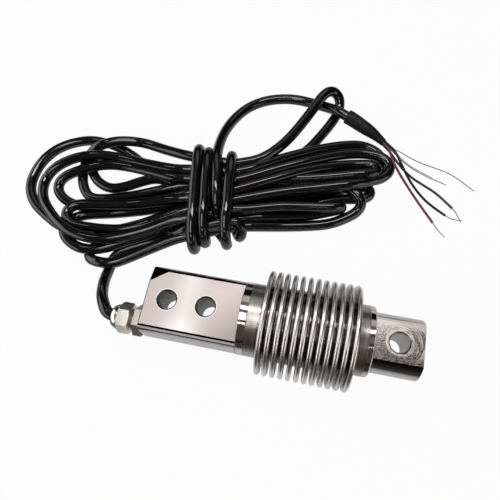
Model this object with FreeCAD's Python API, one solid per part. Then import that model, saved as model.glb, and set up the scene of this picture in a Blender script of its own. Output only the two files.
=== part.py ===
import FreeCAD, Part
import math
import os

from FreeCAD import Vector

# Bellows load cell with its cable tied up in a hank. Millimetres.
# Origin: midway between the two mounting holes, on the block's lower face. +X to the load lug, +Z up.

# Sensor body, measured along X from the block's end
end_to_first_hole = 9.9
mount_hole_spacing = 17.5
second_hole_to_load_hole = 82.6
load_hole_to_end = 10.0
flat_height = 19.2
bar_diameter = 32.0
block_length = 43.0
mount_hole_diameter = 8.2
hole_chamfer = 0.55
lower_hole_chamfer = 0.35
block_end_round = 2.0
corner_facet_along = 8.2
corner_facet_across = 6.0
corner_facet_depth = 1.8
lug_diameter = 25.9
lug_corner_from_axis = 8.4
lug_corner_along = 0.3
load_hole_diameter = 8.2
spot_face_diameter = 11.8
spot_face_depth = 0.15
flat_edge_chamfer = 0.5
cut_margin = 1.0

# Measuring beam inside the bellows
beam_width = 14.0
beam_height = 18.0
thin_bore_diameter = 13.0
thin_bore_at = (60.0, 84.0)
gauge_size = (7.0, 4.0, 0.12)
board_size = (10.0, 0.8, 12.0)
resistor_size = (3.0, 0.6, 1.6)
resistor_shift = 0.7
resistor_rise = {"balance_resistor": 4.2, "span_resistor_a": -2.6, "span_resistor_b": -4.8}
wire_pad = (3.4, 4.4)
core_pad = 2.8
core_pad_step = 0.9
core_pad_reach = 3.0
gauge_wire_diameter = 0.3
gauge_wire_clearance = 0.04

# A gauge wire's way over the beam: inward from the gauge's end, across the beam, up from the gauge;
# then its drop beside the board: inward, out from the board's face, and height; then its hook at the pad
gauge_wire_over = [(0, -1, 0), (2, -4, 0.5), (3, -7.6, 0.2)]
gauge_wire_drop = (3.4, 1.6, 7.0)
gauge_wire_hook = (1.2, 0.6)

# Bellows and its end rings
block_ring_diameter = 32.4
block_ring_bore = 27.8
block_seam = 46.6
first_crest = 53.5
crest_pitch = 3.42
crest_count = 12
crest_diameter = 46.1
root_diameter = 33.0
crest_radius = 1.05
bellows_wall = 0.4
load_ring_diameter = 30.7
load_ring_bore = 26.0
load_seam = 96.6
load_ring_end = 99.4
load_ring_chamfer = 0.9
spigot_length = 4.2

# Cable gland, on an axis beside the bolt holes
gland_offset = 9.8
gland_thread_diameter = 10.0
gland_thread_length = 6.5
gland_hole_depth = 7.5
channel_diameter = 4.6
hex_across_flats = 12.3
gland_hex_length = 4.0
gland_hex_turn = -2.0
nut_hex_turn = 10.0
nut_gap = 1.9
nut_hex_length = 5.9
nut_dome_length = 3.0
nut_mouth_diameter = 6.0
spigot_diameter = 9.6
thread_pitch = 0.9
thread_depth = 0.4
nut_chamfer_length = 0.6
nut_dome_step = 0.35
nut_dome_bulge = 0.38
nut_lip = 1.6
nut_face_step = 0.18
seal_diameter = 8.0
seal_length = 4.4
claw_length = 1.8
o_ring_section = 1.1

# Cable
cable_diameter = 5.6
jacket_end_depth = 4.5
core_diameter = 1.3
tip_diameter = 0.55
drain_diameter = 0.5
sleeve_diameter = 8.4
shoulder_diameter = 8.0
sleeve_end_diameter = 3.9

# Hank: its own axes are u along the strands, w away from the sensor, h up from the floor
hank_centre = (-7.2, 63.2)
hank_angle = 11.0
lobe_height = 11.4
waist_sides = (-23.8, 26.8)
waist_ends = (-15.0, 16.0)
waist_rise = cable_diameter
waist_height = 10.45
waist_corner = 5.0
wrap_at = {"left": -8.8, "middle": -2.9, "right": 10.8}
edge_rounding = 2.5

# Outlines of the two fans of loops, (u, w), from the waist round to the waist
left_lobe_outline = [
    (-13, 26.8), (-26, 33), (-39, 38.5), (-55, 41), (-74, 44), (-90, 40), (-101, 31), (-106, 18), (-105, 6),
    (-98, -5), (-87, -14), (-77, -24), (-66, -33), (-55, -38.5), (-43, -37.5), (-28, -31), (-13, -23.8),
]
right_lobe_outline = [
    (14, -23.8), (30, -19), (50, -18.6), (65, -16), (77, -9), (84, -1), (94, 7.5), (98, 15), (95.5, 22),
    (90.5, 29), (83, 34.5), (72, 34), (58, 30.5), (42, 26.5), (28, 24.5), (14, 26.8),
]

# Routes of the free stretches, (u, w, h); each bend's arc takes this share of the shorter run beside it
arc_share = 0.45
lead_straight = 4.5
lead_route = [
    (-49.4, -62.2, 20.4), (-52.2, -56.4, 16.4), (-53.4, -50, 11.8), (-54, -43.6, 7.4), (-52.8, -37.4, 4),
    (-48.4, -32, 2.9), (-42, -28, 2.9),
]
loop_route = [
    (12, 10, 9.6), (22, 18, 11), (31, 26.6, 10.8), (40, 35, 10.6), (48, 43, 10.8), (55, 51, 11.1),
    (60, 59, 11), (63.8, 66.4, 10.3), (68.3, 68.4, 8.3), (72.1, 66.5, 5.3), (73.2, 61.7, 3.1),
    (71.4, 55.5, 2.9), (68, 49.4, 2.9), (63, 42.6, 2.9), (57, 36.4, 2.9), (50, 30.8, 2.9), (42.6, 25.6, 2.9),
    (36, 21, 2.9),
]
tail_route = [
    (4.2, -16, 11), (4.2, -8, 16.2), (4, 2, 18.9), (4, 13, 18.6), (4.1, 23, 15.6), (5, 32, 10.6),
    (7.6, 41, 6), (12.5, 50, 3.4), (19.5, 57.5, 2.9), (29, 62.5, 2.9), (40, 64.6, 2.9), (50, 63.6, 2.9),
    (57.4, 60.2, 3.8), (63.4, 55.8, 6.4), (69.5, 50.75, 9.3), (75, 47, 9),
]
sleeve_route = [(75, 47, 9), (86, 39.5, 8.4), (94, 31.6, 6.2)]

# Cores beyond the sleeve: where each sits on the sleeve's end (across, up), its route and its stripped end
core_seat = 0.72
core_straight = 4.0
tip_straight = 2.0
core_routes = {
    "red": {
        "seat": (1, 1),
        "route": [(97, 23.6, 7), (98.8, 16.8, 6.4), (102.8, 9, 4.6), (109, -1.8, 2), (116, -14, 0.8)],
        "tip": [(118.2, -18.4, 0.6), (121, -22, 0.5)],
    },
    "black": {
        "seat": (1, -1),
        "route": [(98.6, 24.4, 4.8), (101.4, 17.4, 4.2), (105.4, 9.8, 3), (110.4, 2.6, 1.6), (116, -4, 0.8),
                  (123, -10, 0.8)],
        "tip": [(127, -12.4, 0.5), (131, -13, 0.5)],
    },
    "green": {
        "seat": (-1, 1),
        "route": [(99.6, 25.4, 7), (103.4, 19.2, 6.2), (108, 13.6, 4.2), (114.4, 8.4, 1.8), (121, 2.4, 0.8),
                  (127, -6, 0.9)],
        "tip": [(128.8, -10, 1.2), (130, -14, 1.4)],
    },
    "white": {
        "seat": (-1, -1),
        "route": [(100.6, 25.8, 4.4), (104.8, 21.2, 3), (110.6, 17, 1.6), (119, 12, 0.8)],
        "tip": [(122.6, 10, 0.6), (126, 8, 0.5)],
    },
}
drain_route = [
    (101.6, 26.9, 5.8), (106.4, 23.8, 4.6), (113, 21, 2.6), (120.8, 18.6, 1), (128.6, 15.2, 0.5),
    (134.4, 10, 0.5), (140, 4, 0.5),
]

# Places worked out from the sizes above
total_length = end_to_first_hole + mount_hole_spacing + second_hole_to_load_hole + load_hole_to_end
first_hole = end_to_first_hole
second_hole = first_hole + mount_hole_spacing
load_hole = second_hole + second_hole_to_load_hole
origin_from_end = first_hole + mount_hole_spacing / 2
axis_z = flat_height / 2
floor_z = axis_z - crest_diameter / 2
flat_half_width = math.sqrt((bar_diameter / 2) ** 2 - axis_z ** 2)
root_radius = crest_pitch / 2 - crest_radius
beam_start = block_seam + spigot_length
beam_end = load_seam - spigot_length
nut_start = -(gland_hex_length + nut_gap)
dome_start = nut_start - nut_hex_length
mouth = dome_start - nut_dome_length
o_ring_diameter = gland_thread_diameter + 2 * o_ring_section
spigot_end = dome_start + claw_length
seal_end = spigot_end + seal_length
board_middle = sum(thin_bore_at) / 2
board_face = -beam_width / 2 - board_size[1]
long_x = Vector(1, 0, 0)

parts = {}


def at(distance, y=0.0, z=0.0):
    """A point measured from the block's end along the sensor's axis, and from that axis."""
    return Vector(distance - origin_from_end, y, axis_z + z)


def on_hank(u, w, h):
    """A point given on the hank's own axes."""
    turn = math.radians(hank_angle)
    x = hank_centre[0] + u * math.cos(turn) - w * math.sin(turn)
    y = hank_centre[1] + u * math.sin(turn) + w * math.cos(turn)
    return Vector(x, y, floor_z + h)


def bar(diameter, start, end, y=0.0, z=0.0):
    return Part.makeCylinder(diameter / 2, end - start, at(start, y, z), long_x)


def turned(profile, y=0.0):
    """Solid of revolution from a closed profile of (distance, radius) points."""
    points = [at(distance, y, radius) for distance, radius in profile]
    face = Part.Face(Part.makePolygon(points + points[:1]))
    return face.revolve(at(0, y), long_x, 360)


def block_between(start, end, width, height, y=0.0, z=0.0):
    return Part.makeBox(end - start, width, height, at(start, y - width / 2, z - height / 2))


def hexagon(across_flats, start, end, y, turn):
    """Hexagon bar along the axis; at turn 0 a flat faces up."""
    corner = across_flats / math.sqrt(3)
    points = []
    for step in range(7):
        angle = math.radians(turn + 60 * step)
        points.append(at(start, y + corner * math.cos(angle), corner * math.sin(angle)))
    return Part.Face(Part.makePolygon(points)).extrude(Vector(end - start, 0, 0))


def upright_hole(diameter, distance, face_diameter=0.0, face_depth=0.0):
    """Hole through both flats with a chamfered mouth on each face, in a spot face where one is given."""
    half = flat_height / 2
    hole = Part.makeCylinder(diameter / 2, flat_height + 2 * cut_margin,
                             at(distance, 0, -half - cut_margin), Vector(0, 0, 1))
    for side, chamfer in ((1, hole_chamfer), (-1, lower_hole_chamfer)):
        inward = Vector(0, 0, -side)
        hole = hole.fuse(Part.makeCone(diameter / 2 + chamfer, diameter / 2, chamfer,
                                       at(distance, 0, side * (half - face_depth)), inward))
        if face_diameter:
            hole = hole.fuse(Part.makeCylinder(face_diameter / 2, face_depth + cut_margin,
                                               at(distance, 0, side * (half + cut_margin)), inward))
    return hole


def round_path(points):
    """Straight runs joined by tangent arcs, each arc as large as its two runs allow."""
    edges = []
    radii = []
    start = points[0]
    for before, corner, after in zip(points, points[1:], points[2:]):
        back = (before - corner).normalize()
        ahead = (after - corner).normalize()
        half_turn = (math.pi - back.getAngle(ahead)) / 2
        reach = arc_share * min((before - corner).Length, (after - corner).Length)
        radius = reach / math.tan(half_turn)
        inward = (back + ahead).normalize()
        middle = corner + inward * (radius / math.cos(half_turn) - radius)
        edges.append(Part.LineSegment(start, corner + back * reach).toShape())
        edges.append(Part.Arc(corner + back * reach, middle, corner + ahead * reach).toShape())
        radii.append(radius)
        start = corner + ahead * reach
    edges.append(Part.LineSegment(start, points[-1]).toShape())
    return Part.Wire(edges), radii


def tube(name, points, diameter):
    """Round bar along a rounded path; prints its radii, and its volume against section times length."""
    path, radii = round_path(points)
    ahead = points[1] - points[0]
    section = Part.Wire(Part.makeCircle(diameter / 2, points[0], ahead))
    solid = path.makePipeShell([section], True, False)
    share = solid.Volume / (math.pi * diameter ** 2 / 4 * path.Length)
    print(name, "length", round(path.Length, 1), "volume share", round(share, 4),
          "radii", [round(radius, 1) for radius in radii])
    return solid


def flats(start, end):
    """Room between the two milled faces."""
    return block_between(start - cut_margin, end + cut_margin, 2 * bar_diameter, flat_height)


def break_flat_edges(solid, least_length):
    """Chamfer along the long edges where the milled faces meet the round of the bar."""
    edges = []
    for edge in solid.Edges:
        on_flat = math.isclose(abs(edge.CenterOfMass.z - axis_z), flat_height / 2)
        if on_flat and edge.Length > least_length - flat_edge_chamfer:
            edges.append(edge)
    return solid.makeChamfer(flat_edge_chamfer, edges)


def measuring_body():
    block = bar(bar_diameter, 0, block_length).common(flats(0, block_length))
    body = break_flat_edges(block, block_length).common(round_ended_room())
    body = body.fuse(bar(block_ring_bore, block_length, beam_start))
    body = body.fuse(block_between(beam_start, beam_end, beam_width, beam_height))
    body = body.fuse(bar(load_ring_bore, beam_end, load_ring_end))
    lug = bar(lug_diameter, load_ring_end, total_length).common(flats(load_ring_end, total_length))
    lug = break_flat_edges(lug, total_length - load_ring_end)
    body = body.fuse(lug.common(cornered_room()))
    for distance in (first_hole, second_hole):
        body = body.cut(upright_hole(mount_hole_diameter, distance))
    body = body.cut(upright_hole(load_hole_diameter, load_hole, spot_face_diameter, spot_face_depth))
    for distance in thin_bore_at:
        body = body.cut(Part.makeCylinder(thin_bore_diameter / 2, beam_width + 2 * cut_margin,
                                          at(distance, -beam_width / 2 - cut_margin), Vector(0, 1, 0)))
    body = body.cut(bar(gland_thread_diameter, -cut_margin, gland_hole_depth, -gland_offset))
    body = body.cut(bar(channel_diameter, gland_hole_depth - cut_margin, beam_start + cut_margin,
                        -gland_offset))
    body = body.cut(corner_facet())
    return body.removeSplitter()


def round_ended_room():
    """Room for the block, with its two upright end edges rounded."""
    room = block_between(0, block_length, bar_diameter, bar_diameter)
    ends = [edge for edge in room.Edges
            if math.isclose(edge.CenterOfMass.x, at(0).x) and math.isclose(edge.CenterOfMass.z, axis_z)]
    return room.makeFillet(block_end_round, ends)


def cornered_room():
    """Room for the lug, with its end's two sides cut off at a slant from the flats outwards."""
    reach = lug_diameter / 2
    outline = [(load_ring_end, -reach), (total_length - lug_corner_along, -reach),
               (total_length, -lug_corner_from_axis), (total_length, lug_corner_from_axis),
               (total_length - lug_corner_along, reach), (load_ring_end, reach)]
    points = [at(distance, y, -reach) for distance, y in outline]
    return Part.Face(Part.makePolygon(points + points[:1])).extrude(Vector(0, 0, lug_diameter))


def corner_facet():
    """Wedge that takes the shallow facet off the far upper corner of the block's end."""
    top = flat_height / 2
    along = at(corner_facet_along, flat_half_width, top)
    across = at(0, flat_half_width - corner_facet_across, top)
    below = at(0, flat_half_width, top - corner_facet_depth)
    normal = (along - across).cross(below - across).normalize()
    if normal.z < 0:
        normal = normal * -1
    wedge = Part.makeBox(bar_diameter, bar_diameter, flat_height)
    wedge.translate(Vector(-bar_diameter / 2, -bar_diameter / 2, 0))
    tilt = FreeCAD.Placement(across, FreeCAD.Rotation(Vector(0, 0, 1), normal))
    wedge.Placement = tilt.multiply(wedge.Placement)
    return wedge


def outline_edges(start, moves):
    """Edges from a start point: a move of one point is a straight line, one of two is an arc."""
    edges = []
    for move in moves:
        if len(move) == 1:
            edges.append(Part.LineSegment(start, move[0]).toShape())
        else:
            edges.append(Part.Arc(start, move[0], move[1]).toShape())
        start = move[-1]
    return edges


def bellows_side(inset):
    """Edges of one side of the bellows wall, cuff to cuff, set in from the outside."""
    bulge = crest_radius - inset
    hollow = root_radius + inset
    crest_z = crest_diameter / 2 - crest_radius
    slant = hollow * math.sqrt(0.5)
    root = root_diameter / 2
    cuffs = [block_ring_diameter / 2] + [root] * (crest_count - 1) + [load_ring_diameter / 2]
    moves = [[at(first_crest - crest_pitch / 2, 0, cuffs[0] - inset)]]
    for index in range(crest_count):
        crest = first_crest + index * crest_pitch
        left, right = crest - crest_pitch / 2, crest + crest_pitch / 2
        rise, fall = cuffs[index] + root_radius, cuffs[index + 1] + root_radius
        moves.append([at(left + slant, 0, rise - slant), at(left + hollow, 0, rise)])
        moves.append([at(crest - bulge, 0, crest_z)])
        moves.append([at(crest, 0, crest_z + bulge), at(crest + bulge, 0, crest_z)])
        moves.append([at(crest + bulge, 0, fall)])
        moves.append([at(right - slant, 0, fall - slant), at(right, 0, fall - hollow)])
    moves.append([at(load_seam, 0, cuffs[-1] - inset)])
    return outline_edges(at(block_seam, 0, cuffs[0] - inset), moves)


def bellows():
    ends = []
    for seam, diameter in ((block_seam, block_ring_diameter), (load_seam, load_ring_diameter)):
        outside = at(seam, 0, diameter / 2)
        inside = at(seam, 0, diameter / 2 - bellows_wall)
        ends.append(Part.LineSegment(outside, inside).toShape())
    outline = Part.Wire(Part.__sortEdges__(bellows_side(0) + bellows_side(bellows_wall) + ends))
    return Part.Face(outline).revolve(at(0), long_x, 360)


def end_rings():
    """Turned rings that carry the cuffs of the bellows on their spigots."""
    outer = block_ring_diameter / 2
    bore = block_ring_bore / 2
    spigot = outer - bellows_wall
    block_ring = turned([(block_length, bore), (block_length, outer), (block_seam, outer),
                         (block_seam, spigot), (beam_start, spigot), (beam_start, bore)])
    outer = load_ring_diameter / 2
    bore = load_ring_bore / 2
    spigot = outer - bellows_wall
    load_ring = turned([(beam_end, bore), (beam_end, spigot), (load_seam, spigot), (load_seam, outer),
                        (load_ring_end - load_ring_chamfer, outer),
                        (load_ring_end, outer - load_ring_chamfer), (load_ring_end, bore)])
    channel = bar(channel_diameter, block_length - cut_margin, beam_start + cut_margin, -gland_offset)
    return block_ring.cut(channel), load_ring


def strain_gauges():
    length, width, thickness = gauge_size
    gauges = {}
    for end, distance in zip(("block", "load"), thin_bore_at):
        for face, side in (("top", 1), ("bottom", -1)):
            lift = side * (beam_height + thickness) / 2
            gauges[f"gauge_{face}_{end}"] = block_between(distance - length / 2, distance + length / 2,
                                                          width, thickness, 0, lift)
    return gauges


def terminal_board():
    """Board glued on the beam's side between the thin bores."""
    length, thickness, height = board_size
    return block_between(board_middle - length / 2, board_middle + length / 2, thickness, height,
                         board_face + thickness / 2)


def board_resistors():
    length, thickness, height = resistor_size
    start = board_middle - length / 2 + resistor_shift
    return {name: block_between(start, start + length, thickness, height, board_face - thickness / 2, rise)
            for name, rise in resistor_rise.items()}


def gauge_wires(board):
    """A fine wire from each gauge over the beam's edge to the outer face of the board."""
    wires = {}
    top = beam_height / 2 + gauge_size[2] + gauge_wire_diameter / 2 + gauge_wire_clearance
    for end, distance in zip(("block", "load"), thin_bore_at):
        inward = math.copysign(1, board_middle - distance)
        tab = distance + inward * gauge_size[0] / 2
        pad = board_middle - inward * wire_pad[0]
        for face, side in (("top", 1), ("bottom", -1)):
            name = f"gauge_wire_{face}_{end}"
            route = [at(tab + inward * step, y, side * (top + rise)) for step, y, rise in gauge_wire_over]
            step, out, height = gauge_wire_drop
            route.append(at(tab + inward * step, board_face - out, side * height))
            out, rise = gauge_wire_hook
            route.append(at(pad, board_face - out, side * (wire_pad[1] + rise)))
            route.append(at(pad, board_face + board_size[1] / 2, side * wire_pad[1]))
            wires[name] = tube(name, route, gauge_wire_diameter).cut(board)
    return wires


def inner_cores():
    """The four cores from the jacket's end in the gland, along the channel to the board."""
    behind_board = block_between(beam_start, beam_end, beam_width, beam_height, board_face + beam_width / 2)
    wires = {}
    for colour, core in core_routes.items():
        side, level = core["seat"]
        y = -gland_offset + side * core_seat
        z = level * core_seat
        landing = board_middle - core_pad - side * core_pad_step
        name = "inner_" + colour
        route = [at(jacket_end_depth, y, z), at(landing - core_pad_reach, y, z),
                 at(landing, board_face + core_diameter, z)]
        wires[name] = tube(name, route, core_diameter).cut(behind_board)
    return wires


def gland_body(o_ring):
    """Hexagon with a screwed stem in the block and a threaded spigot for the nut."""
    body = hexagon(hex_across_flats, -gland_hex_length, 0, -gland_offset, gland_hex_turn)
    body = body.fuse(bar(gland_thread_diameter, 0, gland_thread_length, -gland_offset))
    body = body.fuse(threaded_spigot())
    body = body.cut(bar(nut_mouth_diameter, spigot_end - cut_margin, gland_thread_length + cut_margin,
                        -gland_offset))
    body = body.cut(bar(seal_diameter, spigot_end - cut_margin, seal_end, -gland_offset))
    return body.cut(o_ring)


def threaded_spigot():
    """Spigot with the turns of its thread that show between the hexagon and the nut."""
    crest = spigot_diameter / 2
    profile = [(spigot_end, 0), (spigot_end, crest), (nut_start, crest)]
    turns = int((-gland_hex_length - nut_start) / thread_pitch)
    for turn in range(turns):
        start = nut_start + turn * thread_pitch
        profile += [(start + thread_pitch / 2, crest - thread_depth), (start + thread_pitch, crest)]
    profile += [(-gland_hex_length, crest), (-gland_hex_length, 0)]
    return turned(profile, -gland_offset)


def gland_nut():
    """Domed hexagon nut with turned corners."""
    corner = hex_across_flats / math.sqrt(3)
    round_face = hex_across_flats / 2 - nut_face_step
    shell = turned([(nut_start, 0), (nut_start, round_face), (nut_start - nut_chamfer_length, corner),
                    (dome_start + nut_chamfer_length, corner), (dome_start, round_face), (dome_start, 0)],
                   -gland_offset)
    nut = hexagon(hex_across_flats, dome_start, nut_start, -gland_offset, nut_hex_turn)
    nut = nut.common(shell).fuse(nut_dome())
    nut = nut.cut(bar(spigot_diameter, spigot_end, nut_start + cut_margin, -gland_offset))
    nut = nut.cut(bar(seal_diameter, dome_start, spigot_end + cut_margin, -gland_offset))
    return nut.cut(bar(nut_mouth_diameter, mouth - cut_margin, dome_start + cut_margin, -gland_offset))


def nut_dome():
    """Rounded front of the nut, from the hexagon down to the cable's mouth."""
    base = hex_across_flats / 2 - nut_dome_step
    lip = nut_mouth_diameter / 2 + nut_lip
    front = at(mouth, -gland_offset, lip)
    back = at(dome_start, -gland_offset, base)
    middle = at(mouth + nut_dome_length * nut_dome_bulge, -gland_offset, base - (base - lip) * nut_dome_bulge)
    moves = [[front], [middle, back]]
    edges = outline_edges(at(mouth, -gland_offset), moves)
    edges += outline_edges(back, [[at(dome_start, -gland_offset)], [at(mouth, -gland_offset)]])
    return Part.Face(Part.Wire(edges)).revolve(at(0, -gland_offset), long_x, 360)


def gland_ring(start, end, inner_diameter, outer_diameter):
    inner, outer = inner_diameter / 2, outer_diameter / 2
    return turned([(start, inner), (start, outer), (end, outer), (end, inner)], -gland_offset)


def lobe(outline):
    """Flat pad with the outline of one fan of loops; its short straight side is at the waist."""
    points = [on_hank(u, w, 0) for u, w in outline]
    curve = Part.BSplineCurve()
    curve.interpolate(points)
    closing = Part.LineSegment(points[-1], points[0]).toShape()
    pad = Part.Face(Part.Wire([curve.toShape(), closing])).extrude(Vector(0, 0, lobe_height))
    rims = [edge for edge in pad.Edges if edge.Length > curve.length() - edge_rounding]
    return pad.makeFillet(edge_rounding, rims)


def waist_section(u, margin):
    """Rounded oblong round the tied strands, as a wire across the hank."""
    low, high = waist_sides[0] - margin, waist_sides[1] + margin
    bottom, top = waist_rise - margin, waist_rise + waist_height + margin
    corner = waist_corner + margin
    slant = corner * (1 - math.sqrt(0.5))
    corners = [
        ((high - corner, bottom), (high - slant, bottom + slant), (high, bottom + corner)),
        ((high, top - corner), (high - slant, top - slant), (high - corner, top)),
        ((low + corner, top), (low + slant, top - slant), (low, top - corner)),
        ((low, bottom + corner), (low + slant, bottom + slant), (low + corner, bottom)),
    ]
    edges = []
    for index, (start, middle, end) in enumerate(corners):
        arc = [on_hank(u, w, h) for w, h in (start, middle, end)]
        next_start = on_hank(u, *corners[(index + 1) % 4][0])
        edges.append(Part.Arc(*arc).toShape())
        if (next_start - arc[2]).Length > 1e-6:
            edges.append(Part.LineSegment(arc[2], next_start).toShape())
    return Part.Wire(edges)


def hank():
    along = on_hank(1, 0, 0) - on_hank(0, 0, 0)
    start, end = waist_ends
    waist = Part.Face(waist_section(start, 0)).extrude(along * (end - start))
    return waist.fuse(lobe(left_lobe_outline)).fuse(lobe(right_lobe_outline)).removeSplitter()


def cable_wrap(u):
    """One turn of the cable's own end round the waist, as a closed ring."""
    path = waist_section(u, cable_diameter / 2)
    first = path.Edges[0]
    section = Part.makeCircle(cable_diameter / 2, first.valueAt(first.FirstParameter),
                              first.tangentAt(first.FirstParameter))
    return path.makePipeShell([Part.Wire(section)], True, False)


def sleeve():
    """Heat-shrink sleeve: plain over the jacket, then shrunk down to the cores."""
    wide_end, shoulder, narrow_end = [on_hank(*point) for point in sleeve_route]
    first = (shoulder - wide_end).normalize()
    last = (narrow_end - shoulder).normalize()
    rings = ((wide_end, first, sleeve_diameter), (shoulder, first + last, shoulder_diameter),
             (narrow_end, last, sleeve_end_diameter))
    sections = [Part.Wire(Part.makeCircle(diameter / 2, point, facing)) for point, facing, diameter in rings]
    return Part.makeLoft(sections, True, True)


def cores():
    """Insulated cores, their stripped tips and the drain wire, starting on the sleeve's narrow end."""
    shoulder, end = [on_hank(*point) for point in sleeve_route[1:]]
    ahead = (end - shoulder).normalize()
    across = ahead.cross(Vector(0, 0, 1)).normalize()
    up = across.cross(ahead)
    wires = {}
    for colour, core in core_routes.items():
        side, level = core["seat"]
        seat = end + across * (side * core_seat) + up * (level * core_seat)
        route = [on_hank(*point) for point in core["route"]]
        covered = [seat, seat + ahead * core_straight] + route
        wires[colour + "_core"] = tube(colour + " core", covered, core_diameter)
        bare_start = route[-1] + (route[-1] - route[-2]).normalize() * tip_straight
        bare = [route[-1], bare_start] + [on_hank(*point) for point in core["tip"]]
        wires[colour + "_tip"] = tube(colour + " tip", bare, tip_diameter)
    drain = [end, end + ahead * core_straight] + [on_hank(*point) for point in drain_route]
    wires["drain_wire"] = tube("drain wire", drain, drain_diameter)
    return wires


def cable():
    """The stub in the gland, the lead, the hank with its wraps, the loose loop and the tail."""
    tied = hank()
    pieces = {"cable_entry": bar(cable_diameter, mouth, jacket_end_depth, -gland_offset), "cable_hank": tied}
    for side, u in wrap_at.items():
        pieces["cable_wrap_" + side] = cable_wrap(u)
    gland_mouth = [at(mouth, -gland_offset), at(mouth - lead_straight, -gland_offset)]
    routes = {"cable_lead": lead_route, "cable_loop": loop_route, "cable_tail": tail_route}
    for name, route in routes.items():
        points = [on_hank(*point) for point in route]
        if name == "cable_lead":
            points = gland_mouth + points
        pieces[name] = tube(name, points, cable_diameter).cut(tied)
    return pieces


parts["measuring_body"] = measuring_body()
parts["bellows"] = bellows()
parts["ring_block_side"], parts["ring_load_side"] = end_rings()
parts.update(strain_gauges())
parts["terminal_board"] = terminal_board()
parts.update(board_resistors())
parts.update(gauge_wires(parts["terminal_board"]))
parts.update(inner_cores())
parts["gland_o_ring"] = gland_ring(-o_ring_section, 0, gland_thread_diameter, o_ring_diameter)
parts["gland_body"] = gland_body(parts["gland_o_ring"])
parts["gland_nut"] = gland_nut()
parts["gland_seal"] = gland_ring(spigot_end, seal_end, cable_diameter, seal_diameter)
parts["gland_claw"] = gland_ring(dome_start, spigot_end, nut_mouth_diameter, seal_diameter)
parts.update(cable())
parts["heat_shrink_sleeve"] = sleeve()
parts.update(cores())

os.makedirs("parts", exist_ok=True)
for name, shape in parts.items():
    shape.exportStep(f"parts/{name}.step")
    print(name, "solids", len(shape.Solids), "valid", shape.isValid(), "volume", round(shape.Volume, 2))
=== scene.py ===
import math

import bpy
import numpy as np
from mathutils import Matrix, Vector


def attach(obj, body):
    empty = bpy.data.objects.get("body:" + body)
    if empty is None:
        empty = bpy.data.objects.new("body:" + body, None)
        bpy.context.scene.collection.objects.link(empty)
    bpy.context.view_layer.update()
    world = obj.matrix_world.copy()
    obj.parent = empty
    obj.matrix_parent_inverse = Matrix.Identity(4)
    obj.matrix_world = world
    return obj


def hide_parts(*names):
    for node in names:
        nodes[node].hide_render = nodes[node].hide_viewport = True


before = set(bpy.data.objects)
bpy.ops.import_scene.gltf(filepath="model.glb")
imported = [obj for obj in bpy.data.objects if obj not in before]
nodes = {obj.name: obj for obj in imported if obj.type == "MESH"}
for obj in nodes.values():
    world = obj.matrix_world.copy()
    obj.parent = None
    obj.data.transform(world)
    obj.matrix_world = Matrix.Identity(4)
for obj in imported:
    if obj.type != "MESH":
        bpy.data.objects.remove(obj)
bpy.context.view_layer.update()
mm = 0.001
print("frame loaded:", len(nodes), "nodes")


# Shader sheets: a Value is one socket, and sums and products of Values become Math nodes

class Value:
    def __init__(self, sheet, socket):
        self.sheet = sheet
        self.socket = socket

    def join(self, operation, other, swapped=False):
        pair = {0: other, 1: self} if swapped else {0: self, 1: other}
        return self.sheet.node("ShaderNodeMath", {"operation": operation}, pair)

    def __add__(self, other):
        return self.join("ADD", other)

    def __radd__(self, other):
        return self.join("ADD", other, True)

    def __sub__(self, other):
        return self.join("SUBTRACT", other)

    def __rsub__(self, other):
        return self.join("SUBTRACT", other, True)

    def __mul__(self, other):
        return self.join("MULTIPLY", other)

    def __pow__(self, other):
        return self.join("POWER", other)

    def __gt__(self, other):
        return self.join("GREATER_THAN", other)

    def __lt__(self, other):
        return self.join("LESS_THAN", other)

    def size(self):
        return self.sheet.node("ShaderNodeMath", {"operation": "ABSOLUTE"}, {0: self})

    def twin(self, output):
        return Value(self.sheet, self.socket.node.outputs[output])


class Sheet:
    # the nodes of one material or world; a new node takes its settings first, then socket values or links
    def __init__(self, owner):
        owner.use_nodes = True
        self.tree = owner.node_tree

    def node(self, kind, settings, sockets, output=0):
        made = self.tree.nodes.new(kind)
        for setting, value in settings.items():
            setattr(made, setting, value)
        for socket, value in sockets.items():
            if isinstance(value, Value):
                self.tree.links.new(value.socket, made.inputs[socket])
            else:
                made.inputs[socket].default_value = value
        return Value(self, made.outputs[output])

    def place(self, scale=(1, 1, 1), turn=(0, 0, 0)):
        coords = self.node("ShaderNodeTexCoord", {}, {}, "Object")
        return self.node("ShaderNodeMapping", {}, {"Vector": coords, "Scale": scale, "Rotation": turn})

    def axes(self):
        spot = self.node("ShaderNodeSeparateXYZ", {}, {0: self.place()})
        return spot, spot.twin(1), spot.twin(2)

    def angle(self, up, across):
        return self.node("ShaderNodeMath", {"operation": "ARCTAN2"}, {0: up, 1: across})

    def noise(self, place, detail):
        return self.node("ShaderNodeTexNoise", {}, {"Vector": place, "Scale": 1.0, "Detail": detail})

    def clouds(self, scale, detail):
        # noise of the same size every way
        return self.noise(self.place((scale, scale, scale)), detail)

    def streaks(self, first, second, detail):
        # noise on two values in place of coordinates
        return self.noise(self.node("ShaderNodeCombineXYZ", {}, {0: first, 1: second}), detail)

    def scratches(self, scale, turn, width):
        # thin lines where a stretched noise passes its middle value
        return (self.noise(self.place(scale, turn), 1.0) - 0.5).size() < width

    def between(self, value, low, high, newLow=0.0, newHigh=1.0):
        # low to high becomes newLow to newHigh, and stays at them beyond
        return self.node("ShaderNodeMapRange", {}, {0: value, 1: low, 2: high, 3: newLow, 4: newHigh})

    def blend(self, factor, first, second):
        return self.node("ShaderNodeMix", {"data_type": "RGBA"}, {0: factor, 6: first, 7: second}, 2)


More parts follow.
